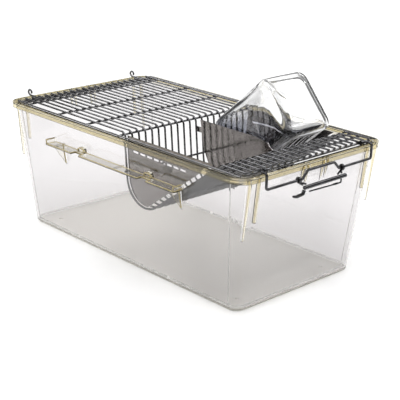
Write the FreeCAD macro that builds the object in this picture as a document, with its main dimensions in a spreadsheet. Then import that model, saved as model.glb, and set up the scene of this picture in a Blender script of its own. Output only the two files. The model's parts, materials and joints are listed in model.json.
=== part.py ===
import FreeCAD, Part
import math
import os
import Sketcher
from FreeCAD import Placement, Rotation, Vector

# Small-animal cage: a clear tub, a wire lid whose bars dip to form a feed hopper,
# a bail with a sprung latch, and a water bottle lying in the hopper.
# Frame: origin at the centre of the tub's underside, +X to the latch end, +Z up.

doc = FreeCAD.newDocument("cage")

# ---------------------------------------------------------------- driving sizes
SIZES = {
    # tub
    "rim_length": 480.0,
    "rim_width": 267.0,
    "rim_top": 182.3,
    "rim_depth": 6.7,
    "rim_corner": 24.0,
    "rim_skin": 2.2,
    "base_length": 431.5,
    "base_width": 219.6,
    "base_corner": 17.0,
    "base_round": 5.0,
    "wall_length": 466.0,
    "wall_width": 254.0,
    "wall_corner": 20.0,
    "wall": 2.5,
    "floor": 3.0,
    "fin_thickness": 2.2,
    "nub_diameter": 7.0,
    "nub_height": 1.2,
    "nub_inset": 30.5,
    # card holder
    "holder_half": 132.0,
    "holder_shelf": 142.0,
    "holder_top": 150.3,
    "holder_reach": 141.7,
    "holder_skin": 1.8,
    "holder_gusset_foot": 114.5,
    "notch_length": 17.0,
    "notch_depth": 8.0,
    "tab_width": 13.0,
    "tab_depth": 5.0,
    # lid wires
    "frame_rod": 3.4,
    "cross_rod": 2.8,
    "side_rod": 2.2,
    "bar_rod": 2.7,
    "weld_gap": 0.05,
    "rest_gap": 0.3,
    "bar_lift": 3.4,
    "side_rod_y": 124.7,
    "side_rod_end": 222.0,
    "bar_start": -220.0,
    "bar_end": 227.2,
    "bar_pitch": 11.35,
    # hopper
    "crest_x": 6.67,
    "hopper_corner_x": 18.52,
    "hopper_corner_z": 62.06,
    "hopper_bend": 36.5,
    "crest_bend": 8.0,
    "crest_wire_angle": 50.0,
    "side_wire_z": 132.0,
    "slope_wire_x": 100.0,
    "slope": 36.3,
    "hopper_plate": 0.8,
    "hopper_plate_y": 111.2,
    "plate_inset": 0.5,
    "plate_lift": 7.0,
    "plate_top": 181.8,
    "slot_z": 162.4,
    "slot_width": 2.8,
    "slot_start": 19.6,
    "slot_end": 124.0,
    "slot_drop": 2.3,
    "rear_hook_y": 96.4,
    # divider
    "divider_y": 13.9,
    "divider_plate": 1.0,
    "divider_top": 182.5,
    "divider_rise": 12.4,
    # bottle
    "bottle_width": 87.0,
    "bottle_depth": 88.0,
    "bottle_corner": 14.0,
    "bottle_body": 118.0,
    "bottle_shoulder": 18.0,
    "bottle_neck": 11.0,
    "neck_diameter": 34.0,
    "bottle_skin": 1.6,
    "base_step": 5.0,
    "bottle_y": 62.425,
    "bottle_tilt": 41.0,
    "bottle_base_x": 145.7,
    "bottle_base_z": 226.3,
    "cap_diameter": 39.0,
    "cap_height": 11.5,
    "cap_skin": 0.9,
    "gasket": 1.5,
    "spout_diameter": 7.4,
    "spout_length": 44.0,
    # bail and latch
    "bail_rod": 3.4,
    "bail_x": 244.5,
    "bail_half": 97.0,
    "eye_y": 89.5,
    "bail_low": 166.5,
    "bail_high": 176.0,
    "hat_foot_y": 34.0,
    "hat_top_y": 24.5,
    "pivot_x": 233.8,
    "pivot_z": 186.2,
    "run_clearance": 0.08,
    "sleeve_wall": 1.4,
    "latch_rod": 5.2,
    "latch_rod_x": 247.6,
    "latch_rod_z": 156.0,
    "latch_rod_start": -33.0,
    "latch_rod_end": 44.0,
    "spring_wire": 2.0,
}

sheet = doc.addObject("Spreadsheet::Sheet", "sizes")
for row, (word, value) in enumerate(SIZES.items(), start=1):
    sheet.set("A%d" % row, word)
    sheet.set("B%d" % row, str(value))
    sheet.setAlias("B%d" % row, word)
doc.recompute()

NODES = []
# end-wall gussets: distance from the middle, foot height, depth at the foot (0 for a point)
GUSSETS = ((115.5, 101.0, 1.6), (100.5, 122.0, 4.5), (22.0, 148.0, 0.0), (14.5, 144.0, 0.0))
HOLDER_TABS = (-67.0, 71.0)
HOLDER_RIBS = (-112.0, 16.0)
HOLDER_GUSSETS = (-112.0, 126.0)
CROSS_WIRES = (-198.0, -128.0, -63.6, 192.3, 207.0)
END_RODS = (("left_outer", -217.5, 0.0), ("left_inner", -210.5, 0.0), ("right", 225.5, 6.5))
BAR_COUNT = 21
# latch legs: name, y of the ring, y of the arm
LATCH_LEGS = (("front", -40.3, -36.3), ("back", 39.5, 35.5))


def size(expression):
    """Value of an expression in the sheet's words."""
    probe = doc.getObject("probe") or doc.addObject("App::FeaturePython", "probe")
    if not hasattr(probe, "number"):
        probe.addProperty("App::PropertyFloat", "number")
    probe.setExpression("number", bound(expression))
    probe.recompute()
    return float(probe.number)


def bound(expression):
    """Expression text with every sheet word given its sheet."""
    words = sorted(SIZES, key=len, reverse=True)
    out = ""
    token = ""
    for letter in str(expression) + " ":
        if letter.isalnum() or letter == "_" or letter == ".":
            token += letter
            continue
        out += "sizes." + token if token in words else token
        out += letter
        token = ""
    return out.strip()


# ---------------------------------------------------------------- derived sizes
WALL_TOP = size("rim_top - rim_depth")
SIDE_Z = size("rim_top + rest_gap + side_rod / 2")
BAR_Z = size("rim_top + bar_lift")
CROSS_Z = BAR_Z - size("(bar_rod + cross_rod) / 2 + weld_gap")
END_Z = BAR_Z - size("(bar_rod + frame_rod) / 2 + weld_gap")
SLOPE = math.radians(size("slope"))
LEAN = size("(hopper_corner_x - crest_x)") / (BAR_Z - size("hopper_corner_z"))


def wall_x(height):
    """Half length of the tub's outer face at a height."""
    return size("base_length") / 2 + size("wall_length - base_length") / 2 * height / WALL_TOP


def wall_y(height):
    """Half width of the tub's outer face at a height."""
    return size("base_width") / 2 + size("wall_width - base_width") / 2 * height / WALL_TOP


def slope_z(x):
    """Height of the hopper's sloping bars at x."""
    return size("hopper_corner_z") + (x - size("hopper_corner_x")) * math.tan(SLOPE)


# ---------------------------------------------------------------- sketch helpers
def new_body(name):
    body = doc.addObject("PartDesign::Body", name)
    body.Label = name
    NODES.append(body)
    return body


def origin_plane(body, role):
    return [f for f in body.Origin.OriginFeatures if f.Role == role][0]


def new_sketch(body, name, role, offset=0.0):
    """Sketch on an origin plane, moved along the plane's normal."""
    sketch = body.newObject("Sketcher::SketchObject", name)
    sketch.AttachmentSupport = [(origin_plane(body, role), "")]
    sketch.MapMode = "FlatFace"
    sketch.AttachmentOffset = Placement(Vector(0, 0, offset), Rotation())
    return sketch


def bind(sketch, constraint, expression):
    """Add a dimension and tie it to the sheet."""
    number = sketch.addConstraint(constraint)
    sketch.setExpression("Constraints[%d]" % number, bound(expression))


def place_point(sketch, geometry, end, x, y):
    """Fix a point of a sketch at sheet expressions x and y from its origin."""
    for kind, expression in (("DistanceX", x), ("DistanceY", y)):
        value = size(expression)
        if abs(value) < 1e-9:
            axis = -2 if kind == "DistanceX" else -1
            sketch.addConstraint(Sketcher.Constraint("PointOnObject", geometry, end, axis))
        else:
            bind(sketch, Sketcher.Constraint(kind, -1, 1, geometry, end, value), expression)


def draw_circle(sketch, diameter, x="0", y="0"):
    centre = Vector(size(x), size(y), 0)
    circle = sketch.addGeometry(Part.Circle(centre, Vector(0, 0, 1), size(diameter) / 2), False)
    place_point(sketch, circle, 3, x, y)
    bind(sketch, Sketcher.Constraint("Diameter", circle, size(diameter)), diameter)


def draw_polygon(sketch, corners):
    """Closed outline whose corners are pairs of sheet expressions."""
    points = [Vector(size(x), size(y), 0) for x, y in corners]
    count = len(points)
    first = sketch.GeometryCount
    for i in range(count):
        sketch.addGeometry(Part.LineSegment(points[i], points[(i + 1) % count]), False)
    for i in range(count):
        sketch.addConstraint(
            Sketcher.Constraint("Coincident", first + i, 2, first + (i + 1) % count, 1))
        place_point(sketch, first + i, 1, *corners[i])


def draw_rounded_rectangle(sketch, length, width, corner):
    """Rectangle centred on the sketch's origin with four equal round corners."""
    half_l = size(length) / 2
    half_w = size(width) / 2
    r = size(corner)
    centres = [(half_l - r, half_w - r), (r - half_l, half_w - r),
               (r - half_l, r - half_w), (half_l - r, r - half_w)]
    first = sketch.GeometryCount
    for i, (cx, cy) in enumerate(centres):
        arc = Part.ArcOfCircle(Part.Circle(Vector(cx, cy, 0), Vector(0, 0, 1), r),
                               i * math.pi / 2, (i + 1) * math.pi / 2)
        sketch.addGeometry(arc, False)
    for i in range(4):
        start = sketch.getPoint(first + i, 2)
        end = sketch.getPoint(first + (i + 1) % 4, 1)
        line = sketch.addGeometry(Part.LineSegment(start, end), False)
        sketch.addConstraint(Sketcher.Constraint("Tangent", first + i, 2, line, 1))
        sketch.addConstraint(Sketcher.Constraint("Tangent", line, 2, first + (i + 1) % 4, 1))
        kind = "Horizontal" if i % 2 == 0 else "Vertical"
        sketch.addConstraint(Sketcher.Constraint(kind, line))
    for i in range(3):
        sketch.addConstraint(Sketcher.Constraint("Equal", first + i, first + i + 1))
    bind(sketch, Sketcher.Constraint("Radius", first, r), corner)
    sketch.addConstraint(
        Sketcher.Constraint("Symmetric", first, 3, first + 2, 3, -1, 1))
    bind(sketch, Sketcher.Constraint("DistanceX", first + 1, 3, first, 3, 2 * (half_l - r)),
         "%s - 2 * (%s)" % (length, corner))
    bind(sketch, Sketcher.Constraint("DistanceY", first + 2, 3, first + 1, 3, 2 * (half_w - r)),
         "%s - 2 * (%s)" % (width, corner))


def draw_bent_line(sketch, corners, bends):
    """Open path through corners, each inner corner rounded by a tangent arc."""
    points = [Vector(size(x), size(y), 0) for x, y in corners]
    radii = [size(b) for b in bends]
    runs = []
    starts = [points[0]]
    arcs = []
    for i in range(1, len(points) - 1):
        back = (points[i - 1] - points[i]).normalize()
        ahead = (points[i + 1] - points[i]).normalize()
        turn = math.pi - back.getAngle(ahead)
        reach = radii[i - 1] * math.tan(turn / 2)
        middle = (back + ahead).normalize() * (radii[i - 1] / math.cos(turn / 2) - radii[i - 1])
        enter = points[i] + back * reach
        leave = points[i] + ahead * reach
        runs.append((starts[-1], enter))
        arcs.append(Part.Arc(enter, points[i] + middle, leave))
        starts.append(leave)
    runs.append((starts[-1], points[-1]))
    lines = [sketch.addGeometry(Part.LineSegment(a, b), False) for a, b in runs]
    for i, arc in enumerate(arcs):
        curve = sketch.addGeometry(arc, False)
        enters_first = sketch.getPoint(curve, 1).distanceToPoint(runs[i][1]) < 1e-6
        near, far = (1, 2) if enters_first else (2, 1)
        sketch.addConstraint(Sketcher.Constraint("Tangent", lines[i], 2, curve, near))
        sketch.addConstraint(Sketcher.Constraint("Tangent", lines[i + 1], 1, curve, far))
        bind(sketch, Sketcher.Constraint("Radius", curve, radii[i]), bends[i])
        corner = sketch.addGeometry(Part.Point(points[i + 1]), True)
        place_point(sketch, corner, 1, *corners[i + 1])
        sketch.addConstraint(Sketcher.Constraint("PointOnObject", corner, 1, lines[i]))
        sketch.addConstraint(Sketcher.Constraint("PointOnObject", corner, 1, lines[i + 1]))
    place_point(sketch, lines[0], 1, *corners[0])
    place_point(sketch, lines[-1], 2, *corners[-1])


def pad(body, sketch, length, name, symmetric=False, backwards=False):
    feature = body.newObject("PartDesign::Pad", name)
    feature.Profile = sketch
    feature.setExpression("Length", bound(length))
    feature.Midplane = symmetric
    feature.Reversed = backwards
    doc.recompute()
    return feature


def pocket(body, sketch, length, name, backwards=True):
    """Cut along the sketch's normal; the body has to lose volume."""
    before = body.Shape.Volume
    feature = body.newObject("PartDesign::Pocket", name)
    feature.Profile = sketch
    feature.setExpression("Length", bound(length))
    feature.Reversed = backwards
    doc.recompute()
    if body.Shape.Volume >= before - 0.1:
        raise RuntimeError(name + " cut nothing")
    return feature


def loft(body, sketches, name, subtract=False):
    kind = "PartDesign::SubtractiveLoft" if subtract else "PartDesign::AdditiveLoft"
    feature = body.newObject(kind, name)
    feature.Profile = sketches[0]
    feature.Sections = sketches[1:]
    feature.Ruled = True
    doc.recompute()
    return feature


def round_edges(body, radius, name, chosen):
    """Fillet the edges of the body's tip for which chosen(edge) is true."""
    doc.recompute()
    tip = body.Tip
    names = ["Edge%d" % (i + 1) for i, e in enumerate(tip.Shape.Edges) if chosen(e)]
    feature = body.newObject("PartDesign::Fillet", name)
    feature.Base = (tip, names)
    feature.setExpression("Radius", bound(radius))
    doc.recompute()
    return feature


def at_height(edge, height):
    box = edge.BoundBox
    return abs(box.ZMin - height) < 1e-4 and abs(box.ZMax - height) < 1e-4


# ---------------------------------------------------------------- wire helpers
def straight_rod(name, diameter, start, end):
    """Round rod from start to end as a Part cylinder."""
    rod = doc.addObject("Part::Cylinder", name)
    rod.Label = name
    rod.setExpression("Radius", bound(diameter + " / 2"))
    span = Vector(*end) - Vector(*start)
    rod.Height = span.Length
    rod.Placement = Placement(Vector(*start), Rotation(Vector(0, 0, 1), span))
    NODES.append(rod)
    return rod


def bent_spine(points, bend):
    """Wire of straight runs joined by tangent arcs of one radius."""
    corners = [Vector(*p) for p in points]
    edges = []
    start = corners[0]
    for i in range(1, len(corners) - 1):
        back = (corners[i - 1] - corners[i]).normalize()
        ahead = (corners[i + 1] - corners[i]).normalize()
        turn = math.pi - back.getAngle(ahead)
        reach = bend * math.tan(turn / 2)
        middle = (back + ahead).normalize() * (bend / math.cos(turn / 2) - bend)
        enter = corners[i] + back * reach
        leave = corners[i] + ahead * reach
        edges.append(Part.LineSegment(start, enter).toShape())
        edges.append(Part.Arc(enter, corners[i] + middle, leave).toShape())
        start = leave
    edges.append(Part.LineSegment(start, corners[-1]).toShape())
    return Part.Wire(edges)


def bent_rod(name, diameter, points, bend):
    """Rod bent in space, swept along its centre line."""
    spine = bent_spine(points, bend)
    heading = Vector(*points[1]) - Vector(*points[0])
    circle = Part.Circle(Vector(*points[0]), heading, size(diameter) / 2)
    section = Part.Wire([circle.toShape()])
    feature = doc.addObject("Part::Feature", name)
    feature.Label = name
    feature.Shape = spine.makePipeShell([section], True, False)
    feature.Placement = Placement()
    NODES.append(feature)
    return feature


# ---------------------------------------------------------------- tub
def build_tub():
    body = new_body("tub")
    growth = "(wall_%s - base_%s) / (rim_top - rim_depth)"
    base = new_sketch(body, "tub_base", "XY_Plane")
    draw_rounded_rectangle(base, "base_length", "base_width", "base_corner")
    top = new_sketch(body, "tub_wall_top", "XY_Plane", WALL_TOP)
    draw_rounded_rectangle(top, "wall_length", "wall_width", "wall_corner")
    loft(body, [base, top], "tub_walls")
    rim = new_sketch(body, "tub_rim", "XY_Plane", WALL_TOP)
    draw_rounded_rectangle(rim, "rim_length", "rim_width", "rim_corner")
    pad(body, rim, "rim_depth", "tub_rim_pad")
    round_edges(body, "base_round", "tub_base_round", lambda e: at_height(e, 0))

    sections = []
    for label, height, corner in (("floor", "floor", "base_corner - wall"),
                                  ("mouth", "rim_top", "wall_corner - wall")):
        sketch = new_sketch(body, "tub_cavity_" + label, "XY_Plane", size(height))
        spans = ["base_%s + %s * %s - 2 * wall" % (side, growth % (side, side), height)
                 for side in ("length", "width")]
        draw_rounded_rectangle(sketch, spans[0], spans[1], corner)
        sections.append(sketch)
    loft(body, sections, "tub_cavity", subtract=True)
    round_edges(body, "base_round - 1", "tub_floor_round",
                lambda e: at_height(e, size("floor")))

    channel = new_sketch(body, "tub_rim_channel", "XY_Plane", WALL_TOP)
    draw_rounded_rectangle(channel, "rim_length - 2 * rim_skin", "rim_width - 2 * rim_skin",
                           "rim_corner - rim_skin")
    draw_rounded_rectangle(channel, "wall_length + 1.3", "wall_width + 1.3", "wall_corner")
    pocket(body, channel, "rim_depth - rim_skin", "tub_rim_channel_cut")

    # gussets between the rim and the two end walls
    top_z = "rim_top - rim_skin - 0.3"
    for place, foot, depth in GUSSETS:
        for side in (-1, 1):
            gusset = new_sketch(body, "tub_gusset", "XZ_Plane", -side * place)
            for end in (-1, 1):
                corners = [(str(end * (wall_x(foot) - 1)), str(foot)),
                           ("%d * (rim_length / 2 - 1)" % end, top_z),
                           (str(end * (wall_x(WALL_TOP) - 1)), top_z)]
                if depth:
                    corners.insert(1, (str(end * (wall_x(foot) + depth)), str(foot)))
                draw_polygon(gusset, corners)
            pad(body, gusset, "fin_thickness", "tub_gusset_pad", symmetric=True)

    nubs = new_sketch(body, "tub_nubs", "XY_Plane", size("floor") - 0.2)
    for sx in (-1, 1):
        for sy in (-1, 1):
            draw_circle(nubs, "nub_diameter", "%d * (base_length / 2 - nub_inset)" % sx,
                        "%d * (base_width / 2 - nub_inset)" % sy)
    pad(body, nubs, "nub_height + 0.2", "tub_nub_pad")
    return body


# ---------------------------------------------------------------- card holder
def build_card_holder():
    """Shelf along the front wall with raised ends, finger notches and round-topped tabs."""
    body = new_body("card_holder")
    gap = 0.1
    inner = str(-wall_y(size("holder_shelf + holder_skin")) - gap)
    shelf = new_sketch(body, "holder_shelf", "XY_Plane", size("holder_shelf"))
    outline = [("-holder_half", "-holder_reach")]
    for place in HOLDER_TABS:
        for side in (-1, 1):
            x = "%s + %d * notch_length / 2" % (place, side)
            rim = (x, "-holder_reach")
            notch = (x, "-holder_reach + notch_depth")
            outline += [rim, notch] if side < 0 else [notch, rim]
    outline += [("holder_half", "-holder_reach"), ("holder_half", inner), ("-holder_half", inner)]
    draw_polygon(shelf, outline)
    pad(body, shelf, "holder_skin", "holder_shelf_pad")

    def across(name, x, corners, thickness):
        """Plate standing across the rail at x."""
        sketch = new_sketch(body, name, "YZ_Plane", x)
        draw_polygon(sketch, corners)
        pad(body, sketch, thickness, name + "_pad", symmetric=True)

    def wall(height):
        return str(-wall_y(size(height)) - gap)

    low = wall("holder_shelf")
    for end in (-1, 1):
        across("holder_end", end * size("holder_half - holder_skin / 2"),
               [("-holder_reach", "holder_shelf"), (low, "holder_shelf"),
                (wall("holder_top"), "holder_top"), ("-holder_reach", "holder_top")],
               "holder_skin")
    for x in HOLDER_RIBS:
        across("holder_rib", x,
               [("-holder_reach", "holder_shelf + 0.5"), (low, "holder_shelf + 0.5"),
                (wall("holder_shelf + 4"), "holder_shelf + 4"),
                ("-holder_reach", "holder_shelf + 3")], "holder_skin")
    for x in HOLDER_GUSSETS:
        across("holder_gusset", x,
               [("-holder_reach + 1", "holder_shelf + 0.5"),
                (wall("holder_gusset_foot"), "holder_gusset_foot"),
                (low, "holder_shelf + 0.5")], "holder_skin")

    # round-topped tabs behind the two finger notches
    for place in HOLDER_TABS:
        tab = new_sketch(body, "holder_tab", "XZ_Plane", -float(wall("holder_top")) + 0.6)
        half = "tab_width / 2"
        draw_polygon(tab, [("%s - %s" % (place, half), "holder_shelf + 0.5"),
                           ("%s + %s" % (place, half), "holder_shelf + 0.5"),
                           ("%s + %s" % (place, half), "holder_top - 3"),
                           ("%s + %s - 3" % (place, half), "holder_top + 0.5"),
                           ("%s - %s + 3" % (place, half), "holder_top + 0.5"),
                           ("%s - %s" % (place, half), "holder_top - 3")])
        pad(body, tab, "tab_depth", "holder_tab_pad")
    return body


# ---------------------------------------------------------------- wire lid
def build_lid_wires():
    y = size("side_rod_y")
    end_x = size("side_rod_end")
    for name, side in (("front", -1), ("back", 1)):
        straight_rod("lid_side_rod_" + name, "side_rod",
                     (-end_x, side * y, SIDE_Z), (end_x + 7, side * y, SIDE_Z))
    reach = y - size("cross_rod / 2 + 0.6")
    for name, x, shorter in END_RODS:
        half = reach - shorter
        straight_rod("lid_end_rod_" + name, "frame_rod", (x, -half, END_Z), (x, half, END_Z))
    for number, x in enumerate(CROSS_WIRES, start=1):
        straight_rod("lid_cross_wire_%d" % number, "cross_rod",
                     (x, -reach, CROSS_Z), (x, reach, CROSS_Z))
    # the wire that nests inside the bars' bend at the hopper's upright side
    bend = size("crest_bend")
    nest = bend - size("(bar_rod + cross_rod) / 2 + weld_gap")
    turn = math.pi / 2 - math.atan(LEAN)
    around = math.radians(size("crest_wire_angle"))
    crest = (size("crest_x") - bend * math.tan(turn / 2) + nest * math.cos(around),
             BAR_Z - bend + nest * math.sin(around))
    straight_rod("lid_crest_wire", "cross_rod",
                 (crest[0], -reach, crest[1]), (crest[0], reach, crest[1]))
    # two cross wires outside the hopper: on its upright side and under its bottom
    gap = size("(bar_rod + cross_rod) / 2 + weld_gap")
    side_z = size("side_wire_z")
    side_x = size("crest_x") + (BAR_Z - side_z) * LEAN - gap - 0.1
    hopper_reach = size("bar_pitch") * (BAR_COUNT // 2) + 1.0
    straight_rod("hopper_side_wire", "cross_rod",
                 (side_x, -hopper_reach, side_z), (side_x, hopper_reach, side_z))
    low_x = size("slope_wire_x")
    low_z = slope_z(low_x) - (gap + 0.02) / math.cos(SLOPE)
    straight_rod("hopper_slope_wire", "cross_rod",
                 (low_x, -hopper_reach, low_z), (low_x, hopper_reach, low_z))


def build_lid_bars():
    """Bars that run along the lid and dip together to form the hopper."""
    path = [("bar_start", str(BAR_Z)), ("crest_x", str(BAR_Z)),
            ("hopper_corner_x", "hopper_corner_z"),
            ("hopper_corner_x + (%s - hopper_corner_z) / tan(slope * 1deg)" % BAR_Z, str(BAR_Z)),
            ("bar_end", str(BAR_Z))]
    for number in range(BAR_COUNT):
        body = new_body("lid_bar_%02d" % (number + 1))
        section = new_sketch(body, "bar_section", "YZ_Plane", size("bar_start"))
        draw_circle(section, "bar_rod", "0", str(BAR_Z))
        line = new_sketch(body, "bar_line", "XZ_Plane")
        draw_bent_line(line, path, ["crest_bend", "hopper_bend", "crest_bend"])
        pipe = body.newObject("PartDesign::AdditivePipe", "bar")
        pipe.Profile = section
        pipe.Spine = line
        body.setExpression("Placement.Base.y", bound("%d * bar_pitch" % (number - BAR_COUNT // 2)))
    doc.recompute()


def build_hopper_plates():
    """Flat sheets that close the hopper's two sides, just inside the bars' line."""
    inset = size("bar_rod / 2 + plate_inset")
    lift = size("plate_lift") / math.cos(SLOPE)
    tan = math.tan(SLOPE)
    bend = size("hopper_bend")
    radius = bend - inset
    upright = math.pi + math.atan(LEAN)
    # centre of the bars' large bend, from the corner that their two straight runs share
    reach = bend * math.tan((math.pi / 2 - math.atan(LEAN) + SLOPE) / 2)
    centre_x = size("hopper_corner_x") + reach * math.cos(SLOPE) - bend * math.sin(SLOPE)
    centre_z = size("hopper_corner_z") + reach * math.sin(SLOPE) + bend * math.cos(SLOPE)
    # the sheet's lower sloping edge meets its round edge in a sharp tip
    edge_0 = slope_z(0) + lift
    drop = (centre_z - edge_0 - centre_x * tan) * math.cos(SLOPE)
    tip = 1.5 * math.pi + SLOPE - math.acos(drop / radius)
    start = Vector(centre_x + radius * math.cos(upright), centre_z + radius * math.sin(upright), 0)
    end = Vector(centre_x + radius * math.cos(tip), centre_z + radius * math.sin(tip), 0)
    top = size("plate_top")
    left_top = start + Vector(-math.sin(math.atan(LEAN)), math.cos(math.atan(LEAN)), 0) * (
        (top - start.y) / math.cos(math.atan(LEAN)))
    right_top = Vector((top - edge_0) / tan, top, 0)
    for name, side in (("front", -1), ("back", 1)):
        body = new_body("hopper_plate_" + name)
        sketch = new_sketch(body, "plate_outline", "XZ_Plane", -side * size("hopper_plate_y"))
        arc = sketch.addGeometry(Part.ArcOfCircle(
            Part.Circle(Vector(centre_x, centre_z, 0), Vector(0, 0, 1), radius), upright, tip),
            False)
        lines = [sketch.addGeometry(Part.LineSegment(p, q), False)
                 for p, q in ((end, right_top), (right_top, left_top), (left_top, start))]
        joins = ((arc, 2, lines[0], 1), (lines[0], 2, lines[1], 1), (lines[1], 2, lines[2], 1),
                 (lines[2], 2, arc, 1))
        for join in joins:
            sketch.addConstraint(Sketcher.Constraint("Coincident", *join))
        bind(sketch, Sketcher.Constraint("Radius", arc, radius),
             "hopper_bend - bar_rod / 2 - plate_inset")
        place_point(sketch, arc, 3, str(centre_x), str(centre_z))
        place_point(sketch, lines[1], 1, str(right_top.x), "plate_top")
        place_point(sketch, lines[1], 2, str(left_top.x), "plate_top")
        slot = [("slot_start", "slot_z"), ("slot_end", "slot_z - slot_drop"),
                ("slot_end", "slot_z - slot_drop + slot_width"),
                ("slot_start", "slot_z + slot_width")]
        draw_polygon(sketch, slot)
        pad(body, sketch, "hopper_plate", "plate", symmetric=True)


def build_rear_hooks():
    """Ring-ended wires that reach over the tub's rear rim."""
    for name, side in (("front", -1), ("back", 1)):
        y = side * size("rear_hook_y")
        z = END_Z + size("(frame_rod + cross_rod) / 2 + weld_gap")
        points = [(-203.0, y, z), (-233.0, y, z), (-237.8, y, z + 3.8), (-234.0, y, z + 8.4),
                  (-228.4, y, z + 6.6), (-229.0, y, z + 3.2)]
        bent_rod("rear_hook_" + name, "cross_rod", points, 2.6)


def build_divider():
    body = new_body("hopper_divider")
    sketch = new_sketch(body, "divider_outline", "XZ_Plane", -size("divider_y"))

    def low(x):
        return (str(x), str(slope_z(x) + size("divider_rise")))

    # sloping top, sloping foot, stepped left side, then the hook towards the rear
    corners = [("13.9", "divider_top"), ("118", "divider_top"), ("141", "divider_top - 4"),
               low(150.0), low(62.0), ("45", "112"), ("33", "122"), ("23", "141"),
               ("17.2", "164.5"), ("5.2", "164.5"), ("5.2", "172"), ("16.2", "172")]
    draw_polygon(sketch, corners)
    pad(body, sketch, "divider_plate", "divider", symmetric=True)


# ---------------------------------------------------------------- water bottle
def bottle_placement():
    """The bottle leans base up over the slope: its own +Z runs from base to spout."""
    base = Vector(size("bottle_base_x"), size("bottle_y"), size("bottle_base_z"))
    return Placement(base, Rotation(Vector(0, 1, 0), -(90 + size("bottle_tilt"))))


def build_bottle():
    shoulder = size("bottle_body + bottle_shoulder")
    mouth = shoulder + size("bottle_neck")
    skin = size("bottle_skin")

    body = new_body("bottle")
    end = "neck_diameter + 2"
    levels = (("base", 0.0, "bottle_depth", "bottle_width", "bottle_corner"),
              ("body", size("bottle_body"), "bottle_depth", "bottle_width", "bottle_corner"),
              ("shoulder", shoulder, end, end, "neck_diameter / 2 + 0.5"))
    outer = []
    inner = []
    for name, height, depth, width, corner in levels:
        sketch = new_sketch(body, "bottle_" + name, "XY_Plane", height)
        draw_rounded_rectangle(sketch, depth, width, corner)
        outer.append(sketch)
    pad(body, outer[0], "bottle_body", "bottle_body_pad")
    loft(body, outer[1:], "bottle_shoulder_loft")
    neck = new_sketch(body, "bottle_neck", "XY_Plane", shoulder)
    draw_circle(neck, "neck_diameter")
    pad(body, neck, "bottle_neck", "bottle_neck_pad")
    round_edges(body, "bottle_corner / 2", "bottle_base_round", lambda e: at_height(e, 0))
    # the cavity starts smaller at the base, so that the wall follows the rounded base edge
    hollow = (("base", skin, "bottle_skin + base_step"),
              ("heel", skin + size("base_step"), "bottle_skin"),
              ("body", size("bottle_body"), "bottle_skin"))
    for name, height, inset in hollow:
        sketch = new_sketch(body, "bottle_inner_" + name, "XY_Plane", height)
        draw_rounded_rectangle(sketch, "bottle_depth - 2 * (%s)" % inset,
                               "bottle_width - 2 * (%s)" % inset, "bottle_corner - (%s)" % inset)
        inner.append(sketch)
    sketch = new_sketch(body, "bottle_inner_shoulder", "XY_Plane", shoulder)
    draw_rounded_rectangle(sketch, end + " - 2 * bottle_skin", end + " - 2 * bottle_skin",
                           "neck_diameter / 2 + 0.5 - bottle_skin")
    inner.append(sketch)
    loft(body, inner, "bottle_cavity", subtract=True)
    bore = new_sketch(body, "bottle_bore", "XY_Plane", shoulder - 2)
    draw_circle(bore, "neck_diameter - 2 * bottle_skin")
    pocket(body, bore, "bottle_neck + 3", "bottle_bore_cut")
    body.Placement = bottle_placement()

    gasket = new_body("bottle_gasket")
    ring = new_sketch(gasket, "gasket_ring", "XY_Plane", mouth + 0.02)
    draw_circle(ring, "neck_diameter")
    draw_circle(ring, "spout_diameter + 0.1")
    pad(gasket, ring, "gasket", "gasket_pad")
    gasket.Placement = bottle_placement()

    cap = new_body("bottle_cap")
    top = mouth + size("gasket") + 0.04
    disc = new_sketch(cap, "cap_disc", "XY_Plane", top)
    draw_circle(disc, "cap_diameter")
    draw_circle(disc, "spout_diameter + 0.1")
    pad(cap, disc, "cap_skin", "cap_disc_pad")
    skirt = new_sketch(cap, "cap_skirt", "XY_Plane", top + 0.2)
    draw_circle(skirt, "cap_diameter")
    draw_circle(skirt, "neck_diameter + 0.2")
    pad(cap, skirt, "cap_height - cap_skin", "cap_skirt_pad", backwards=True)
    cap.Placement = bottle_placement()

    spout = new_body("drinking_spout")
    tube = new_sketch(spout, "spout_tube", "XY_Plane", top - size("gasket") - 2.0)
    draw_circle(tube, "spout_diameter")
    pad(spout, tube, "spout_length", "spout_pad")
    round_edges(spout, "spout_diameter / 2 - 1", "spout_tip",
                lambda e: at_height(e, top - size("gasket") - 2.0 + size("spout_length")))
    spout.Placement = bottle_placement()


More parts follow.
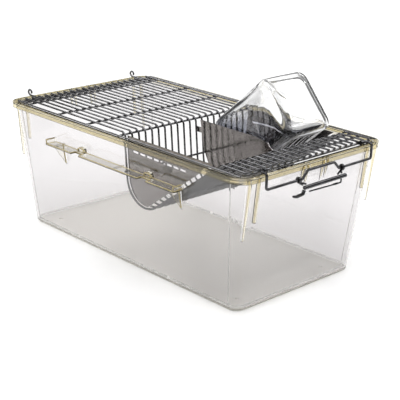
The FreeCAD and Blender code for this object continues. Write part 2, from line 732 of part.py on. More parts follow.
# ---------------------------------------------------------------- bail and latch
def build_bail():
    """Hanging wire handle, pinned in two eyes at the lid's latch end."""
    x = size("bail_x")
    pin_x = size("pivot_x")
    pin_z = size("pivot_z")
    half = size("bail_half")
    low = size("bail_low")
    high = size("bail_high")
    side = [(pin_x, size("eye_y") - 4, pin_z), (pin_x, half, pin_z), (x, half, pin_z),
            (x, half, low),
            (x, size("hat_foot_y"), low), (x, size("hat_top_y"), high)]
    points = [(px, -py, pz) for px, py, pz in side] + side[::-1]
    bent_rod("bail", "bail_rod", points, 3.4)

    outer = "bail_rod + 2 * run_clearance + 2 * sleeve_wall"
    for name, side_sign in (("front", -1), ("back", 1)):
        eye = new_body("bail_eye_" + name)
        ring = new_sketch(eye, "eye_ring", "XZ_Plane", -side_sign * size("eye_y"))
        draw_circle(ring, outer, "pivot_x", "pivot_z")
        pad(eye, ring, "4.4", "eye_ring_pad", symmetric=True)
        strap = new_sketch(eye, "eye_strap", "XZ_Plane", -side_sign * size("eye_y"))
        draw_polygon(strap, [("227.6", "pivot_z - 2.6"), ("pivot_x - 2.0", "pivot_z - 2.6"),
                             ("pivot_x - 2.0", "pivot_z - 0.8"), ("227.6", "pivot_z - 0.8")])
        pad(eye, strap, "4.4", "eye_strap_pad", symmetric=True)
        bore = new_sketch(eye, "eye_bore", "XZ_Plane", -side_sign * size("eye_y") - 5)
        draw_circle(bore, "bail_rod + 2 * run_clearance", "pivot_x", "pivot_z")
        pocket(eye, bore, "12", "eye_bore_cut")


def build_latch():
    """Latch lever that turns on the bail's two lower runs."""
    x = size("latch_rod_x")
    z = size("latch_rod_z")
    outer = "bail_rod + 2 * run_clearance + 2 * sleeve_wall"
    for name, ring_y, arm_y in LATCH_LEGS:
        leg = new_body("latch_leg_" + name)
        ring = new_sketch(leg, "leg_ring", "XZ_Plane", -ring_y)
        draw_circle(ring, outer, "bail_x", "bail_low")
        pad(leg, ring, "4", "leg_ring_pad", symmetric=True)
        arm = new_sketch(leg, "leg_arm", "XZ_Plane", -arm_y)
        foot = "latch_rod_z + latch_rod / 2 + 0.05"
        draw_polygon(arm, [("bail_x + 1.0", "bail_low - 2.6"), ("bail_x + 3.0", "bail_low - 1.0"),
                           ("latch_rod_x + 1.2", foot), ("latch_rod_x - 1.4", foot)])
        pad(leg, arm, "10", "leg_arm_pad", symmetric=True)
        bore = new_sketch(leg, "leg_bore", "XZ_Plane", -ring_y - 12)
        draw_circle(bore, "bail_rod + 2 * run_clearance", "bail_x", "bail_low")
        pocket(leg, bore, "24", "leg_bore_cut")

    straight_rod("latch_rod", "latch_rod", (x, size("latch_rod_start"), z),
                 (x, size("latch_rod_end"), z))
    spring_z = z - 8.0
    top = z - size("latch_rod") / 2 - 0.05
    bent_rod("latch_spring", "spring_wire",
             [(x, 36.0, top), (x, 36.0, spring_z), (x, -24.0, spring_z + 1.5)], 1.6)
    tongue = new_body("latch_tongue")
    plate = new_sketch(tongue, "tongue_outline", "YZ_Plane", x - 2.5)
    draw_polygon(plate, [("-35.6", str(top)), ("-39", "latch_rod_z - 5"),
                         ("-53", "latch_rod_z - 6.5"), ("-52.5", "latch_rod_z - 9.5"),
                         ("-37", "latch_rod_z - 9.5"), ("-31.5", "latch_rod_z - 6"),
                         ("-31", str(top))])
    pad(tongue, plate, "5", "tongue_pad")


# ---------------------------------------------------------------- build and write
build_tub()
build_card_holder()
build_lid_wires()
build_lid_bars()
build_hopper_plates()
build_rear_hooks()
build_divider()
build_bottle()
build_bail()
build_latch()
doc.recompute()

for item in doc.Objects:
    if "Invalid" in item.State or "Error" in item.State:
        raise RuntimeError("%s is %s" % (item.Name, item.State))
for node in NODES:
    if node.Shape.isNull() or not node.Shape.isValid():
        raise RuntimeError(node.Label + " has no valid shape")

os.makedirs("parts", exist_ok=True)
for node in NODES:
    node.Shape.exportStep(os.path.join("parts", node.Label + ".step"))
    print("%-22s %2d solid  %10.1f mm3" % (node.Label, len(node.Shape.Solids),
                                           node.Shape.Volume))
print(len(NODES), "nodes")
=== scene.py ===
"""Looks of the small-animal cage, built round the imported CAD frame. Metres, +Z up."""
import json
import math

import bmesh
import bpy
from mathutils import Matrix, Vector


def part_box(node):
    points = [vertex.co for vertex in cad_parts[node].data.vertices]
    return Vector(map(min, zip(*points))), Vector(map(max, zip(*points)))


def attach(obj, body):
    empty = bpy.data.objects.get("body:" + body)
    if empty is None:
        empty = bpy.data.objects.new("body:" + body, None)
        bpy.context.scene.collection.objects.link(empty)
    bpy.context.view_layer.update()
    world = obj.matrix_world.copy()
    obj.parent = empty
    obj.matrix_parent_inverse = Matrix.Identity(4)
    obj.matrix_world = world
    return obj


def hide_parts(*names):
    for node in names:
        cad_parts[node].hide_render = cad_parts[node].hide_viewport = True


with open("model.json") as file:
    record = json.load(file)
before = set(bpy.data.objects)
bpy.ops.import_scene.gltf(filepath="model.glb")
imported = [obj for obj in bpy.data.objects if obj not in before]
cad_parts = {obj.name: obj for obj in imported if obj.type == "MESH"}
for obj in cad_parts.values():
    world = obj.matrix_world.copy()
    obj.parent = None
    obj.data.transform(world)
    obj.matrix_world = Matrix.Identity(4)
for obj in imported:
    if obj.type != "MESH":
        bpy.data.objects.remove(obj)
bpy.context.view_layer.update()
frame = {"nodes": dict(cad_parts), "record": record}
MM = 0.001


# ---------------------------------------------------------------- places and sizes
def mm(*values):
    """A point or a set of radii given in millimetres."""
    return Vector(values) * MM


def middle(name):
    """Middle of a CAD node's box."""
    low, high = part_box(name)
    return (Vector(low) + Vector(high)) / 2


def joint(name):
    """A joint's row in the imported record."""
    return next(row for row in frame["record"]["behaviour"]["joints"] if row["name"] == name)


# The tub's outer walls lean out evenly from the base to the rim. Millimetres.
RIM_DEPTH = 6.7
WALL_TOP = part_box("tub")[1][2] / MM - RIM_DEPTH
BASE_HALF = {"X": 215.75, "Y": 109.8}
WALL_TOP_HALF = {"X": 233.0, "Y": 127.0}
LEAN = {axis: (WALL_TOP_HALF[axis] - BASE_HALF[axis]) / WALL_TOP for axis in "XY"}
WALL = 2.5

# The lid's long bars run along X. Metres.
BARS = sorted(name for name in frame["nodes"] if name.startswith("lid_bar_"))
BAR_Y = [middle(name).y for name in BARS]
BAR_LOW, BAR_HIGH = (Vector(corner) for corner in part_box(BARS[0]))
BAR_R = (BAR_HIGH.y - BAR_LOW.y) / 2
BAR_Z = BAR_HIGH.z - BAR_R
HOPPER_SLOPE = math.radians(36.3)

# The bottle is built upright from the centre of its base, then laid along its slide.
BOTTLE_BASE = mm(145.7, 62.425, 226.3)
SLIDE = Vector(joint("bottle_lift")["axis"])
BOTTLE_TURN = Matrix.Rotation(math.atan2(-SLIDE.x, -SLIDE.z), 4, "Y")
TO_BOTTLE = Matrix.Translation(BOTTLE_BASE) @ BOTTLE_TURN

# The bail's lower run, which the latch turns on, and the latch's rod. Millimetres.
BAIL_X, _, BAIL_Z = (value / MM for value in joint("latch_swing")["pos_m"])
LATCH_X, _, LATCH_Z = middle("latch_rod") / MM


# ---------------------------------------------------------------- material helpers
def new_material(name):
    material = bpy.data.materials.new(name)
    material.use_nodes = True
    tree = material.node_tree
    return material, tree, tree.nodes["Principled BSDF"]


def node(tree, kind, inputs=None, **properties):
    """Add a node, set its properties, then link its inputs or set them to constants."""
    made = tree.nodes.new(kind)
    for key, value in properties.items():
        setattr(made, key, value)
    for key, value in (inputs or {}).items():
        if isinstance(value, bpy.types.NodeSocket):
            tree.links.new(value, made.inputs[key])
        else:
            made.inputs[key].default_value = value
    return made


def object_noise(tree, scale, detail=4.0, stretch=(1, 1, 1)):
    """Noise in the object's own metres; stretch scales its space along each axis."""
    where = node(tree, "ShaderNodeTexCoord").outputs["Object"]
    mapping = node(tree, "ShaderNodeMapping", {"Vector": where, "Scale": stretch})
    noise = node(tree, "ShaderNodeTexNoise", {"Vector": mapping.outputs["Vector"],
                                              "Scale": scale, "Detail": detail})
    return noise.outputs["Fac"]


def object_axis(tree, axis):
    """One coordinate of the object's own frame, in metres."""
    where = node(tree, "ShaderNodeTexCoord").outputs["Object"]
    return node(tree, "ShaderNodeSeparateXYZ", {"Vector": where}).outputs[axis]


def spread(tree, source, low, high):
    """Map low..high metres onto 0..1."""
    made = node(tree, "ShaderNodeMapRange",
                {"Value": source, "From Min": low, "From Max": high})
    return made.outputs["Result"]


def ramp(tree, source, stops):
    """Colour ramp from (position, value or colour) stops."""
    made = node(tree, "ShaderNodeValToRGB", {"Fac": source})
    elements = made.color_ramp.elements
    for i, (position, value) in enumerate(stops):
        spot = elements[i] if i < 2 else elements.new(position)
        spot.position = position
        colour = value if isinstance(value, tuple) else (value, value, value)
        spot.color = (*colour, 1)
    return made.outputs["Color"]


def math_node(tree, operation, *values):
    """Arithmetic on sockets and constants."""
    made = node(tree, "ShaderNodeMath", dict(enumerate(values)), operation=operation)
    return made.outputs["Value"]


def mix_colours(tree, factor, first, second, blend="MIX"):
    made = node(tree, "ShaderNodeMix", {"Factor": factor, "A": first, "B": second},
                data_type="RGBA", blend_type=blend)
    return made.outputs["Result"]


def add_bump(tree, shader, height, strength, distance):
    bump = node(tree, "ShaderNodeBump",
                {"Height": height, "Strength": strength, "Distance": distance})
    tree.links.new(bump.outputs["Normal"], shader.inputs["Normal"])


# ---------------------------------------------------------------- clear plastics
POLYCARBONATE_IOR = 1.45
BOTTLE_IOR = 1.52
TUB_TINT_TOP = 0.19
PROUD = 0.0012


def clear_base(name, ior):
    material, tree, shader = new_material(name)
    shader.inputs["Transmission Weight"].default_value = 1.0
    shader.inputs["IOR"].default_value = ior
    return material, tree, shader


def absorb_inside(tree, colour, density):
    """Colour the light by the thickness of plastic that it crosses."""
    volume = node(tree, "ShaderNodeVolumeAbsorption", {"Color": (*colour, 1), "Density": density})
    tree.links.new(volume.outputs["Volume"], tree.nodes["Material Output"].inputs["Volume"])


def let_lamps_through(tree, shader, tint):
    """Shadow rays pass the clear plastic with a light tint."""
    path = node(tree, "ShaderNodeLightPath")
    clear = node(tree, "ShaderNodeBsdfTransparent", {"Color": (*tint, 1)})
    mix = node(tree, "ShaderNodeMixShader", {"Fac": path.outputs["Is Shadow Ray"],
                                             1: shader.outputs["BSDF"],
                                             2: clear.outputs["BSDF"]})
    tree.links.new(mix.outputs["Shader"], tree.nodes["Material Output"].inputs["Surface"])


def outside_wall(tree, axis, height):
    """1 where a point stands proud of the tub's leaning wall along an axis."""
    away = math_node(tree, "ABSOLUTE", object_axis(tree, axis))
    leaned = math_node(tree, "MULTIPLY", height, LEAN[axis])
    wall = math_node(tree, "ADD", leaned, BASE_HALF[axis] * MM)
    return math_node(tree, "GREATER_THAN", math_node(tree, "SUBTRACT", away, wall), PROUD)


def tub_material():
    """Polycarbonate: neutral walls, beige rim and gussets, hazy scratched floor, with painted
    shade along X over the whole tub.
    """
    material, tree, shader = clear_base("tub_clear", POLYCARBONATE_IOR)
    floor = (1.0, 0.99, 0.98)
    wall_foot, wall_head = (0.875, 0.866, 0.878), (0.905, 0.895, 0.905)
    rim_foot, rim_head = (0.77, 0.735, 0.64), (0.79, 0.755, 0.66)
    gusset = (0.80, 0.73, 0.50, 1)

    height = object_axis(tree, "Z")
    level = spread(tree, height, 0.0, TUB_TINT_TOP)
    by_height = ramp(tree, level, [(0.0, floor), (0.022, floor), (0.04, wall_foot),
                                   (0.91, wall_head), (0.922, rim_foot), (1.0, rim_head)])
    # Painted shade: the tub's colour is darkened along X, most at about x = +0.15 m and a little
    # at the -X end.
    along = ramp(tree, spread(tree, object_axis(tree, "X"), -0.22, 0.22),
                 [(0.0, 0.96), (0.3, 1.0), (0.6, 1.0), (0.85, 0.91), (1.0, 0.97)])
    walls = mix_colours(tree, 1.0, by_height, along, "MULTIPLY")
    proud = math_node(tree, "MAXIMUM", outside_wall(tree, "X", height),
                      outside_wall(tree, "Y", height))
    tree.links.new(mix_colours(tree, proud, walls, gusset), shader.inputs["Base Color"])

    wall_haze = ramp(tree, object_noise(tree, 40.0, 6.0), [(0.45, 0.02), (0.75, 0.07)])
    floor_haze = ramp(tree, level, [(0.024, 0.32), (0.032, 0.0)])
    tree.links.new(math_node(tree, "ADD", wall_haze, floor_haze), shader.inputs["Roughness"])
    add_bump(tree, shader, object_noise(tree, 9.0, 1.0), 0.05, 0.002)
    absorb_inside(tree, (0.80, 0.775, 0.70), 38.0)
    let_lamps_through(tree, shader, (0.90, 0.90, 0.90))
    return material


def holder_material():
    """The card holder's plastic, warmer than the tub's."""
    material, tree, shader = clear_base("holder_clear", POLYCARBONATE_IOR)
    haze = object_noise(tree, 60.0, 3.0)
    tree.links.new(ramp(tree, haze, [(0.3, (0.95, 0.94, 0.90)), (0.7, (0.975, 0.97, 0.94))]),
                   shader.inputs["Base Color"])
    tree.links.new(ramp(tree, object_noise(tree, 90.0, 5.0), [(0.4, 0.03), (0.8, 0.10)]),
                   shader.inputs["Roughness"])
    add_bump(tree, shader, haze, 0.05, 0.001)
    absorb_inside(tree, (0.76, 0.68, 0.36), 22.0)
    let_lamps_through(tree, shader, (0.90, 0.89, 0.85))
    return material


def lip_material():
    """Edge of the holder's moulding, where the plastic's own colour gathers."""
    material, tree, shader = new_material("holder_lip")
    fleck = object_noise(tree, 120.0, 3.0)
    tree.links.new(ramp(tree, fleck, [(0.3, (0.48, 0.39, 0.18)), (0.7, (0.62, 0.53, 0.29))]),
                   shader.inputs["Base Color"])
    shader.inputs["Transmission Weight"].default_value = 0.2
    tree.links.new(ramp(tree, fleck, [(0.3, 0.15), (0.7, 0.3)]), shader.inputs["Roughness"])
    return material


def painted_highlight_line_material():
    """Painted highlight: a pale, part-clear finish on the rounded corner of the tub's moulding, in
    place of the light that the corner gathers into a pale line.
    """
    material, tree, shader = new_material("tub_painted_highlight_line")
    mist = object_noise(tree, 25.0, 4.0)
    tree.links.new(ramp(tree, mist, [(0.3, (0.92, 0.91, 0.90)), (0.7, (1.0, 1.0, 0.99))]),
                   shader.inputs["Base Color"])
    shader.inputs["Transmission Weight"].default_value = 0.7
    tree.links.new(ramp(tree, mist, [(0.3, 0.1), (0.7, 0.3)]), shader.inputs["Roughness"])
    return material


def bottle_material():
    """Clear and wavy, with a painted dark refraction: a dark band low down in the colour, in place
    of the bars seen where the base bends the light.
    """
    material, tree, shader = clear_base("bottle_clear", BOTTLE_IOR)
    streak = object_noise(tree, 30.0, 3.0, (1, 1, 0.4))
    clear = ramp(tree, streak, [(0.3, (0.98, 0.983, 0.987)), (0.7, (1.0, 1.0, 1.0))])
    # Painted dark refraction: the colour darkens below about z = 0.22 m, darkest at 0.20 m, with a
    # wavy edge, in place of the bars seen through the base.
    wave = math_node(tree, "MULTIPLY", object_noise(tree, 22.0, 2.0), 0.05)
    level = math_node(tree, "ADD", object_axis(tree, "Z"), wave)
    low = ramp(tree, spread(tree, level, 0.200, 0.222),
               [(0.0, (0.42, 0.43, 0.47)), (0.6, (0.60, 0.61, 0.64)), (1.0, (1.0, 1.0, 1.0))])
    tree.links.new(mix_colours(tree, 1.0, clear, low, "MULTIPLY"), shader.inputs["Base Color"])
    tree.links.new(ramp(tree, object_noise(tree, 80.0, 5.0), [(0.4, 0.005), (0.8, 0.03)]),
                   shader.inputs["Roughness"])
    add_bump(tree, shader, object_noise(tree, 16.0, 1.0), 0.25, 0.004)
    absorb_inside(tree, (0.70, 0.70, 0.69), 2.5)
    let_lamps_through(tree, shader, (0.92, 0.92, 0.93))
    return material


# ---------------------------------------------------------------- steel and rubber
def steel(name, dark, light, roughness, brush=(1, 1, 1)):
    """Steel with faint stains and a fine grain, which brush draws out along an axis."""
    material, tree, shader = new_material(name)
    shader.inputs["Metallic"].default_value = 1.0
    stain = object_noise(tree, 60.0, 3.0)
    tree.links.new(ramp(tree, stain, [(0.3, dark), (0.7, light)]), shader.inputs["Base Color"])
    grain = object_noise(tree, 350.0, 5.0, brush)
    tree.links.new(ramp(tree, grain, [(0.3, roughness * 0.8), (0.7, roughness * 1.3)]),
                   shader.inputs["Roughness"])
    add_bump(tree, shader, grain, 0.02, 0.0002)
    return material


def rubber_material():
    material, tree, shader = new_material("gasket")
    speck = object_noise(tree, 500.0, 4.0)
    tree.links.new(ramp(tree, speck, [(0.3, 0.02), (0.7, 0.05)]), shader.inputs["Base Color"])
    shader.inputs["Roughness"].default_value = 0.7
    add_bump(tree, shader, speck, 0.2, 0.0002)
    return material


MATERIALS = {
    "tub_clear": tub_material(),
    "holder_clear": holder_material(),
    "bottle_clear": bottle_material(),
    "steel_wire": steel("steel_wire", (0.09, 0.09, 0.095), (0.19, 0.19, 0.195), 0.13),
    "steel_sheet": steel("steel_sheet", (0.215, 0.20, 0.19), (0.265, 0.248, 0.237), 0.12,
                         brush=(0.1, 1, 1)),
    "steel_bright": steel("steel_bright", (0.35, 0.35, 0.35), (0.5, 0.5, 0.5), 0.15),
    "steel_latch": steel("steel_latch", (0.03, 0.03, 0.032), (0.09, 0.09, 0.095), 0.2),
    "gasket": rubber_material(),
    "holder_lip": lip_material(),
    # painted pale highlight for the tub's moulding beads
    "tub_painted_highlight_line": painted_highlight_line_material(),
}

SLOT_OF = {row["node"]: row["material_slot"] for row in frame["record"]["subparts"]}
for name, obj in frame["nodes"].items():
    obj.data.materials.clear()
    obj.data.materials.append(MATERIALS[SLOT_OF[name]])


# ---------------------------------------------------------------- mesh helpers
QUARTERS = ((1, 1), (-1, 1), (-1, -1), (1, -1))


def piece(name, bm, slot, body, replaced=(), finish=None):
    """Turn a bmesh into a shown piece that rides on a body; finish overrides the slot's look."""
    bmesh.ops.recalc_face_normals(bm, faces=bm.faces)
    for face in bm.faces:
        face.smooth = True
    mesh = bpy.data.meshes.new(name)
    bm.to_mesh(mesh)
    bm.free()
    mesh.materials.append(MATERIALS[finish or slot])
    obj = bpy.data.objects.new(name, mesh)
    bpy.context.collection.objects.link(obj)
    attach(obj, body)
    if replaced:
        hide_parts(*replaced)
    return obj


def circle(radius, count):
    """Points of a circle, as pairs."""
    turns = [2 * math.pi * k / count for k in range(count)]
    return [(radius * math.cos(a), radius * math.sin(a)) for a in turns]


def rounded_rectangle(half_x, half_y, corner, per_corner):
    """Outline of a rounded rectangle, as pairs."""
    outline = []
    for quarter, (sx, sy) in enumerate(QUARTERS):
        for i in range(per_corner):
            a = math.pi / 2 * (quarter + i / (per_corner - 1))
            outline.append((sx * (half_x - corner) + corner * math.cos(a),
                            sy * (half_y - corner) + corner * math.sin(a)))
    return outline


def skin_rings(bm, rings, loop=False):
    """Join rings of equally many points into a closed skin, capped unless it loops."""
    made = [[bm.verts.new(p) for p in ring] for ring in rings]
    count = len(made[0])
    if loop:
        made.append(made[0])
    for near, far in zip(made, made[1:]):
        for i in range(count):
            j = (i + 1) % count
            bm.faces.new((near[i], near[j], far[j], far[i]))
    if loop:
        return
    for ring in (made[0], made[-1]):
        hub = bm.verts.new(sum((v.co for v in ring), Vector()) / count)
        for i in range(count):
            bm.faces.new((ring[i], ring[(i + 1) % count], hub))


def smooth_path(points, bend, steps=6):
    """Corners of a path replaced by arcs of radius bend."""
    path = [points[0]]
    for before, corner, after in zip(points, points[1:], points[2:]):
        back = (before - corner).normalized()
        ahead = (after - corner).normalized()
        turn = math.pi - back.angle(ahead)
        reach = bend * math.tan(turn / 2)
        centre = corner + (back + ahead).normalized() * (bend / math.cos(turn / 2))
        start = corner + back * reach - centre
        finish = corner + ahead * reach - centre
        for i in range(steps + 1):
            path.append(centre + start.lerp(finish, i / steps).normalized() * bend)
    path.append(points[-1])
    return path


def heading_at(points, i):
    """Direction of a path at one of its points."""
    return (points[min(i + 1, len(points) - 1)] - points[max(i - 1, 0)]).normalized()


def sweep(bm, points, radius, segments=12):
    """Round wire with domed ends along a path."""
    final = len(points) - 1
    first = heading_at(points, 0)
    last = heading_at(points, final)
    side = first.orthogonal().normalized()
    dome = [(math.cos(a), math.sin(a)) for a in (0.25, 0.7, 1.15)]

    def ring(centre, heading, across, r):
        up = heading.cross(across)
        return [centre + across * x + up * y for x, y in circle(r, segments)]

    rings = [ring(points[0] + first * radius * (1 - back), first, side, radius * size)
             for back, size in dome]
    for i, centre in enumerate(points):
        ahead = heading_at(points, i)
        side = (side - ahead * side.dot(ahead)).normalized()
        if i == 0:
            centre = centre + first * radius
        elif i == final:
            centre = centre - last * radius
        rings.append(ring(centre, ahead, side, radius))
    rings += [ring(points[-1] - last * radius * (1 - back), last, side, radius * size)
              for back, size in reversed(dome)]
    skin_rings(bm, rings)


def bead(bm, centre, radii, turn):
    """Small squashed ball, such as a weld."""
    matrix = Matrix.Translation(centre) @ turn @ Matrix.Diagonal((*radii, 1))
    bmesh.ops.create_icosphere(bm, subdivisions=2, radius=1.0, matrix=matrix)


# ---------------------------------------------------------------- lid details
def make_welds():
    """Weld nuggets, each turned a little, where the bars sit on the cross wires and end rods."""
    bm = bmesh.new()
    rods = [name for name in frame["nodes"] if name.startswith("lid_cross_wire_")]
    rods += ["lid_crest_wire", "lid_end_rod_left_outer", "lid_end_rod_left_inner",
             "lid_end_rod_right"]
    spot = 0
    for rod in rods:
        at = middle(rod)
        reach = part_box(rod)[1][1]
        for y in BAR_Y:
            if abs(y) <= reach:
                spot += 1
                lean = Matrix.Rotation(0.3 * math.sin(spot * 2.4), 4, "Z")
                bead(bm, Vector((at.x, y, (at.z + BAR_Z) / 2)), mm(1.7, 1.75, 1.1), lean)
    piece("lid_welds", bm, "steel_wire", "lid")


def make_bar_tips():
    """Ground and slightly domed ends of the bars, with a small burr ring no higher than a bar."""
    profile = [(0.05, 0.55), (0.25, 0.85), (0.7, 1.06), (1.3, 1.09), (1.9, 1.0)]
    bm = bmesh.new()
    for y in BAR_Y:
        for end_x, way in ((BAR_LOW.x, 1), (BAR_HIGH.x, -1)):
            rings = []
            for inward, size in profile:
                x = end_x + way * inward * MM
                rings.append([Vector((x, y + across, min(BAR_Z + up, BAR_HIGH.z)))
                              for across, up in circle(BAR_R * size, 12)])
            skin_rings(bm, rings)
    piece("lid_bar_tips", bm, "steel_wire", "lid")


def make_hopper_welds():
    """Welds of the two wires that brace the hopper's bars from outside."""
    bm = bmesh.new()
    on_side = middle("hopper_side_wire") + mm(1.5, 0, 0)
    on_slope = middle("hopper_slope_wire") + mm(-0.9, 0, 1.2)
    along_slope = Matrix.Rotation(-HOPPER_SLOPE, 4, "Y")
    for i, y in enumerate(BAR_Y):
        lean = Matrix.Rotation(0.25 * math.sin(i * 1.9), 4, "Y")
        bead(bm, Vector((on_side.x, y, on_side.z)), mm(1.0, 1.6, 1.6), lean)
        bead(bm, Vector((on_slope.x, y, on_slope.z)), mm(1.7, 1.6, 1.0), along_slope)
    piece("hopper_welds", bm, "steel_wire", "lid")


make_welds()
make_bar_tips()
make_hopper_welds()


# ---------------------------------------------------------------- tub and card holder edges
def make_holder_lips():
    """Fine rounded lips along the rail's shelf, ends, finger tabs and end gussets."""
    low, high = (Vector(corner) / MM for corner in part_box("card_holder"))
    lip = 0.7
    front = low.y + lip
    wall_y = -126.2
    shelf_z = 143.8
    end_z = 149.6
    notches_x = (-67.0, 71.0)
    notch_half = 8.5
    notch_depth = 8.0
    notch_flare = 0.6
    tab_half = 6.0
    tab_y = -131.0
    tab_z = 149.8
    bm = bmesh.new()

    def lay(points, bend, steps):
        sweep(bm, smooth_path([mm(*p) for p in points], bend * MM, steps), lip * MM, 8)

    shelf = [(low.x + lip, wall_y), (low.x + lip, front)]
    for x in notches_x:
        mouth = notch_half + notch_flare
        shelf += [(x - mouth, front), (x - notch_half, front + notch_depth),
                  (x + notch_half, front + notch_depth), (x + mouth, front)]
    shelf += [(high.x - lip, front), (high.x - lip, wall_y)]
    lay([(x, y, shelf_z) for x, y in shelf], 0.5, 3)
    sweep(bm, [mm(x, wall_y + 0.6, shelf_z) for x in (low.x + 2, high.x - 2)], lip * MM, 8)
    for x in (low.x + 0.9, high.x - 0.9):
        lay([(x, front, shelf_z - 0.8), (x, front, end_z), (x, wall_y - 1.0, end_z)], 0.8, 3)
    for x in notches_x:
        lay([(x - tab_half, tab_y, shelf_z), (x - tab_half, tab_y, tab_z),
             (x + tab_half, tab_y, tab_z), (x + tab_half, tab_y, shelf_z)], 2.4, 5)
    for gusset_x in (-112.0, 126.0):
        sweep(bm, [mm(gusset_x, -127.5, 142.2), mm(gusset_x, -122.4, 116.8)], 1.0 * MM, 8)
    piece("holder_lips", bm, "holder_clear", "tub", finish="holder_lip")


def inside_half(axis, z, inset):
    """Half size between the insides of the tub's leaning walls at height z, in millimetres."""
    return BASE_HALF[axis] + LEAN[axis] * z - WALL - inset


def make_tub_lines():
    """Bead round the floor's inner edge and a soft line up each corner, both in the painted pale
    highlight finish.
    """
    bm = bmesh.new()
    foot_z = 5.4
    foot_inset = 2.1
    foot = [mm(x, y, foot_z) for x, y in rounded_rectangle(inside_half("X", foot_z, foot_inset),
                                                           inside_half("Y", foot_z, foot_inset),
                                                           12.5, 9)]
    sweep(bm, foot + foot[:1], 1.6 * MM, 10)
    inset = 0.75
    for sx, sy in QUARTERS:
        line = []
        for z in (7, 40, 80, 120, 150, 172):
            corner = 14.0 + z / 60
            line.append(mm(sx * (inside_half("X", z, inset) - corner),
                           sy * inside_half("Y", z, inset), z))
        sweep(bm, line, 0.6 * MM, 8)
    piece("tub_moulding_painted_highlights", bm, "tub_clear", "tub", finish="tub_painted_highlight_line")


make_holder_lips()
make_tub_lines()


# ---------------------------------------------------------------- bottle
# Stations of the shell along its axis: height, half length, half width, corner radius.
SHELL_OUTSIDE = [
    # dished base
    (5.2, 8, 8, 7), (4.8, 16, 16, 9), (4.0, 24, 24, 11), (1.8, 31, 31, 12),
    (0.4, 35.5, 35, 12), (0.0, 38, 37.5, 12),
    # soft corner up to the body
    (0.7, 40.2, 39.7, 12), (2.4, 42.4, 41.9, 12.5), (5.4, 43.6, 43.1, 13), (9.0, 43.9, 43.4, 13.5),
    # body, slightly waisted
    (40.0, 43.6, 43.1, 14), (66.0, 43.0, 42.6, 14), (92.0, 43.6, 43.1, 14),
    (114.0, 43.9, 43.4, 14),
    # shoulder and neck
    (119.0, 42.0, 41.6, 15), (124.0, 36.6, 36.4, 18), (130.0, 27.4, 27.2, 20),
    (134.0, 20.0, 20.0, 19), (136.2, 17.0, 17.0, 16.9), (146.6, 17.0, 17.0, 16.9)]
SHELL_INSIDE = [
    # neck and shoulder
    (146.6, 15.2, 15.2, 15.1), (136.2, 15.2, 15.2, 15.1), (131.0, 22.0, 21.8, 16),
    (124.0, 33.0, 32.6, 16), (118.0, 39.4, 39.0, 13),
    # body
    (112.0, 41.2, 40.8, 12), (92.0, 41.0, 40.6, 12), (66.0, 40.0, 39.8, 12),
    (40.0, 40.6, 40.2, 12), (14.0, 41.8, 41.3, 12), (9.0, 41.6, 41.1, 12),
    # corner and dished base
    (5.8, 40.0, 39.5, 12), (3.6, 36.0, 35.5, 12), (4.4, 31.0, 31.0, 12),
    (7.0, 24.0, 23.6, 11), (8.0, 15.0, 15.0, 9), (8.4, 8.0, 8.0, 7)]


def hand_made(p):
    """Move a point of the shell: a slanting crease in the base, a slow wave in the walls."""
    base_top = 4.9
    if p.z < base_top:
        crease = math.exp(-((p.x * 0.76 + p.y) / 5.0) ** 2)
        p.z += 1.8 * crease * min(1.0, max(p.x, 0) / 12.0)
    else:
        p.x += 0.25 * math.sin(p.z * 0.11 + p.y * 0.07) * (1 if p.x < 0 else -1)
    return p


def make_bottle():
    """Thick blow-moulded shell: dished base with a crease, soft corners, round neck."""
    bm = bmesh.new()
    rings = []
    for z, half_x, half_y, corner in SHELL_OUTSIDE + SHELL_INSIDE:
        outline = rounded_rectangle(half_x, half_y, corner, 10)
        rings.append([TO_BOTTLE @ (hand_made(Vector((x, y, z))) * MM) for x, y in outline])
    skin_rings(bm, rings)
    shell = piece("bottle_shell", bm, "bottle_clear", "bottle", ["bottle"])
    surface = shell.modifiers.new("soften", "SUBSURF")
    surface.levels = 1
    surface.render_levels = 1


def make_cap():
    """Knurled steel cap, rolled at its open edge and dished round the spout."""
    ribs = 36
    count = ribs * 4
    # height, radius, depth of the knurling
    profile = [(147.0, 4.2, 0), (149.0, 4.2, 0), (149.05, 8.0, 0), (148.6, 10.0, 0),
               (148.6, 15.0, 0), (149.05, 17.5, 0), (148.6, 18.9, 0), (147.6, 19.2, 0.2),
               (140.0, 19.2, 0.2), (138.9, 19.4, 0), (138.2, 19.2, 0), (138.1, 18.2, 0),
               (139.0, 17.5, 0), (147.2, 17.5, 0), (147.8, 16.8, 0), (147.8, 4.4, 0)]
    bm = bmesh.new()
    rings = []
    for z, radius, knurl in profile:
        ring = []
        for k in range(count):
            a = 2 * math.pi * k / count
            r = radius - knurl * (1 - math.cos(a * ribs))
            ring.append(TO_BOTTLE @ mm(r * math.cos(a), r * math.sin(a), z))
        rings.append(ring)
    skin_rings(bm, rings, loop=True)
    piece("cap_knurled", bm, "steel_bright", "bottle", ["bottle_cap"])


def make_spout():
    """Drinking tube drawn down to a ball tip."""
    # height, radius
    profile = [(145.2, 2.2), (145.2, 3.6), (151.0, 3.6), (151.6, 3.1), (176.0, 3.1),
               (180.0, 3.2), (183.0, 3.6), (186.0, 3.6), (188.0, 3.0), (188.4, 2.6),
               (187.6, 2.35), (187.9, 2.0), (188.7, 1.2), (188.95, 0.4)]
    bm = bmesh.new()
    skin_rings(bm, [[TO_BOTTLE @ mm(x, y, z) for x, y in circle(r, 24)] for z, r in profile])
    piece("spout_tube", bm, "steel_bright", "bottle", ["drinking_spout"])


make_bottle()
make_cap()
make_spout()


